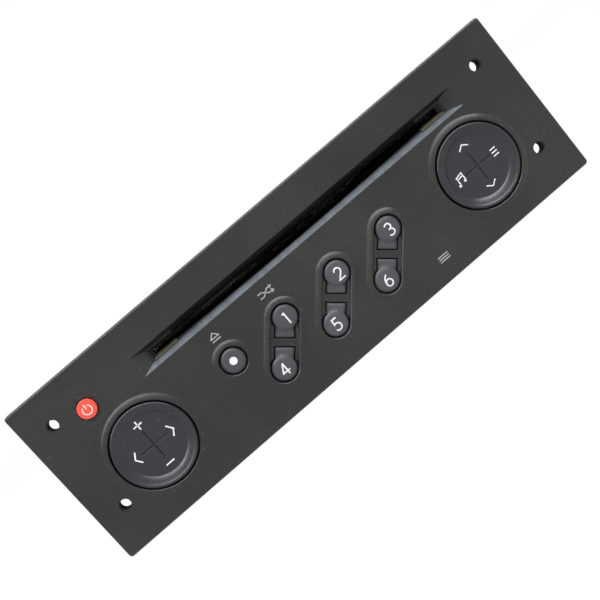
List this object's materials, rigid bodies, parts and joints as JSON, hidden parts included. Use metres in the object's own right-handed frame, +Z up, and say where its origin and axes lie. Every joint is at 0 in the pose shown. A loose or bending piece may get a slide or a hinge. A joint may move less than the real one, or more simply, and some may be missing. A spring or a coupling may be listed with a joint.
{
  "type": "car cd player",
  "caption": "Slot-loading car cd player: a dark moulded front with two rocking pads and round keys, on a steel case with a working disc mechanism inside.",
  "frame": {"origin": "under the middle of the overall box, at the height of the front panel's lower edge", "axes": "+X across the front, to the right as the user sees it; +Y from the front to the back; +Z up"},
  "size_m": [0.203, 0.1776, 0.062],
  "materials": {
    "panel_plastic": "fine matte",
    "pad_plastic": "satin",
    "key_plastic": "satin",
    "red_plastic": "satin",
    "black_plastic": "satin",
    "pale_plastic": "satin",
    "silicone": "matte",
    "circuit_board": "satin lacquer",
    "plated_steel": "zinc plated",
    "latch_steel": "bright",
    "screw_steel": "zinc plated",
    "pin_steel": "polished",
    "motor_steel": "drawn can",
    "sink_aluminium": "extruded",
    "pickup_alloy": "die cast",
    "contact_tin": "tinned",
    "nickel": "nickel plated",
    "component_black": "moulded",
    "felt": "short pile",
    "roller_rubber": "matte",
    "cable_plastic": "flexible",
    "lens_plastic": "clear"
  },
  "bodies": {
    "unit": {"front_panel": "panel_plastic", "slot_guides": "black_plastic", "keymat": "silicone", "front_board": "circuit_board", "pad_mounts": "pale_plastic", "chassis": "plated_steel", "top_cover": "plated_steel", "heat_sink": "sink_aluminium", "rear_stud": "screw_steel", "latch_pins": "pin_steel", "case_screws": "screw_steel", "antenna_socket": "nickel", "iso_connector": "black_plastic", "connector_pins": "contact_tin", "main_board": "circuit_board", "board_components": "component_black", "amplifier_chip": "component_black", "tuner_module": "nickel", "ribbon_cable": "cable_plastic", "inner_screws": "screw_steel", "mech_frame": "plated_steel", "disc_guide": "black_plastic", "dust_felts": "felt", "loading_motor": "motor_steel", "gear_bracket": "plated_steel", "mode_motor": "motor_steel", "deck": "plated_steel", "dampers": "roller_rubber", "spindle_motor": "motor_steel", "guide_rods": "pin_steel", "sled_motor": "motor_steel"},
    "power_key": {"power_button": "red_plastic"},
    "eject_key": {"eject_button": "key_plastic"},
    "left_rocker_ring": {"left_pad_gimbal": "pale_plastic"},
    "left_rocker": {"left_pad": "pad_plastic"},
    "right_rocker_ring": {"right_pad_gimbal": "pale_plastic"},
    "right_rocker": {"right_pad": "pad_plastic"},
    "left_latch": {"side_latch_left": "latch_steel"},
    "right_latch": {"side_latch_right": "latch_steel"},
    "cam_plate": {"mode_slide": "plated_steel"},
    "mode_drive": {"mode_pinion": "pale_plastic"},
    "roller_carrier": {"roller_bracket": "plated_steel"},
    "roller": {"loading_roller": "roller_rubber", "roller_shaft": "pin_steel"},
    "second_gears": {"second_gear": "pale_plastic"},
    "first_gears": {"first_gear": "pale_plastic"},
    "loading_drive": {"loading_pinion": "pale_plastic"},
    "clamp": {"clamp_arm": "plated_steel"},
    "puck": {"clamp_puck": "black_plastic"},
    "spindle": {"turntable": "black_plastic"},
    "sled": {"pickup_sled": "pickup_alloy"},
    "lens": {"objective_lens": "lens_plastic"},
    "sled_gears": {"sled_gear": "pale_plastic"},
    "sled_drive": {"sled_pinion": "pale_plastic"},
    "preset_1": {"key_1": "key_plastic"},
    "preset_2": {"key_2": "key_plastic"},
    "preset_3": {"key_3": "key_plastic"},
    "preset_4": {"key_4": "key_plastic"},
    "preset_5": {"key_5": "key_plastic"},
    "preset_6": {"key_6": "key_plastic"}
  },
  "joints": [
    {"name": "power_key_press", "type": "slide", "parent": "unit", "child": "power_key", "axis": [0, 1, 0], "range_m": [0, 0.0008], "stiffness_N_per_m": 400, "deforming": ["keymat"]},
    {"name": "eject_key_press", "type": "slide", "parent": "unit", "child": "eject_key", "axis": [0, 1, 0], "range_m": [0, 0.0008], "stiffness_N_per_m": 400, "deforming": ["keymat"]},
    {"name": "preset_1_press", "type": "slide", "parent": "unit", "child": "preset_1", "axis": [0, 1, 0], "range_m": [0, 0.0008], "stiffness_N_per_m": 400, "deforming": ["keymat"]},
    {"name": "preset_2_press", "type": "slide", "parent": "unit", "child": "preset_2", "axis": [0, 1, 0], "range_m": [0, 0.0008], "stiffness_N_per_m": 400, "deforming": ["keymat"]},
    {"name": "preset_3_press", "type": "slide", "parent": "unit", "child": "preset_3", "axis": [0, 1, 0], "range_m": [0, 0.0008], "stiffness_N_per_m": 400, "deforming": ["keymat"]},
    {"name": "preset_4_press", "type": "slide", "parent": "unit", "child": "preset_4", "axis": [0, 1, 0], "range_m": [0, 0.0008], "stiffness_N_per_m": 400, "deforming": ["keymat"]},
    {"name": "preset_5_press", "type": "slide", "parent": "unit", "child": "preset_5", "axis": [0, 1, 0], "range_m": [0, 0.0008], "stiffness_N_per_m": 400, "deforming": ["keymat"]},
    {"name": "preset_6_press", "type": "slide", "parent": "unit", "child": "preset_6", "axis": [0, 1, 0], "range_m": [0, 0.0008], "stiffness_N_per_m": 400, "deforming": ["keymat"]},
    {"name": "left_pad_rock_up_down", "type": "hinge", "parent": "unit", "child": "left_rocker_ring", "pos_m": [-0.0709, -0.0841, 0.02385], "axis": [1, 0, 0], "range_deg": [-3, 3], "stiffness_Nm_per_rad": 0.2, "deforming": ["keymat"]},
    {"name": "left_pad_rock_side", "type": "hinge", "parent": "left_rocker_ring", "child": "left_rocker", "pos_m": [-0.0709, -0.0841, 0.02385], "axis": [0, 0, 1], "range_deg": [-3, 3], "stiffness_Nm_per_rad": 0.2, "deforming": ["keymat"]},
    {"name": "right_pad_rock_up_down", "type": "hinge", "parent": "unit", "child": "right_rocker_ring", "pos_m": [0.0709, -0.0841, 0.02385], "axis": [1, 0, 0], "range_deg": [-3, 3], "stiffness_Nm_per_rad": 0.2, "deforming": ["keymat"]},
    {"name": "right_pad_rock_side", "type": "hinge", "parent": "right_rocker_ring", "child": "right_rocker", "pos_m": [0.0709, -0.0841, 0.02385], "axis": [0, 0, 1], "range_deg": [-3, 3], "stiffness_Nm_per_rad": 0.2, "deforming": ["keymat"]},
    {"name": "left_latch_swing", "type": "hinge", "parent": "unit", "child": "left_latch", "pos_m": [-0.0908, -0.0277, 0.0325], "axis": [0, 0, 1], "range_deg": [0, 3], "stiffness_Nm_per_rad": 0.3},
    {"name": "right_latch_swing", "type": "hinge", "parent": "unit", "child": "right_latch", "pos_m": [0.0908, -0.0277, 0.0325], "axis": [0, 0, 1], "range_deg": [-3, 0], "stiffness_Nm_per_rad": 0.3},
    {"name": "mode_slide_travel", "type": "slide", "parent": "unit", "child": "cam_plate", "axis": [0, 1, 0], "range_m": [0, 0.006]},
    {"name": "mode_pinion_turn", "type": "hinge", "parent": "unit", "child": "mode_drive", "pos_m": [0.0826, 0.0383, 0.0354], "axis": [1, 0, 0], "range_deg": [-115, 0]},
    {"name": "roller_bracket_drop", "type": "hinge", "parent": "unit", "child": "roller_carrier", "pos_m": [0.0107, -0.0437, 0.038], "axis": [1, 0, 0], "range_deg": [0, 7.8]},
    {"name": "roller_spin", "type": "hinge", "parent": "roller_carrier", "child": "roller", "pos_m": [0.0107, -0.0657, 0.0406], "axis": [1, 0, 0], "continuous": true},
    {"name": "second_gear_spin", "type": "hinge", "parent": "unit", "child": "second_gears", "pos_m": [-0.0632, -0.06487, 0.0476], "axis": [1, 0, 0], "continuous": true},
    {"name": "first_gear_spin", "type": "hinge", "parent": "unit", "child": "first_gears", "pos_m": [-0.0656, -0.05717, 0.04114], "axis": [1, 0, 0], "continuous": true},
    {"name": "loading_pinion_spin", "type": "hinge", "parent": "unit", "child": "loading_drive", "pos_m": [-0.068, -0.04726, 0.03753], "axis": [1, 0, 0], "continuous": true},
    {"name": "clamp_arm_close", "type": "hinge", "parent": "unit", "child": "clamp", "pos_m": [0.0107, 0.0583, 0.0505], "axis": [1, 0, 0], "range_deg": [0, 3.65]},
    {"name": "clamp_puck_spin", "type": "hinge", "parent": "clamp", "child": "puck", "pos_m": [0.0107, 0.00241, 0.05407], "axis": [0, 0.0637, 0.998], "continuous": true},
    {"name": "turntable_spin", "type": "hinge", "parent": "unit", "child": "spindle", "pos_m": [0.0107, 0.0023, 0.0436], "axis": [0, 0, 1], "continuous": true},
    {"name": "pickup_slide", "type": "slide", "parent": "unit", "child": "sled", "axis": [1, 0, 0], "range_m": [0, 0.034]},
    {"name": "lens_focus", "type": "slide", "parent": "sled", "child": "lens", "axis": [0, 0, 1], "range_m": [-0.0005, 0.0005], "stiffness_N_per_m": 60},
    {"name": "sled_gear_turn", "type": "hinge", "parent": "unit", "child": "sled_gears", "pos_m": [0.041, -0.0217, 0.038], "axis": [0, 0, 1], "range_deg": [-650, 0]},
    {"name": "sled_pinion_turn", "type": "hinge", "parent": "unit", "child": "sled_drive", "pos_m": [0.03277, -0.02746, 0.038], "axis": [0, 0, 1], "range_deg": [0, 1516]}
  ],
  "couplings": [
    {"joint": "roller_bracket_drop", "follows": "mode_slide_travel", "rad_per_m": 22.689},
    {"joint": "clamp_arm_close", "follows": "mode_slide_travel", "rad_per_m": 10.617},
    {"joint": "mode_pinion_turn", "follows": "mode_slide_travel", "rad_per_m": -333.33},
    {"joint": "second_gear_spin", "follows": "roller_spin", "ratio": -1.3333},
    {"joint": "first_gear_spin", "follows": "roller_spin", "ratio": 3.1111},
    {"joint": "loading_pinion_spin", "follows": "roller_spin", "ratio": -7.7778},
    {"joint": "sled_gear_turn", "follows": "pickup_slide", "rad_per_m": -333.33},
    {"joint": "sled_pinion_turn", "follows": "pickup_slide", "rad_per_m": 777.78}
  ]
}
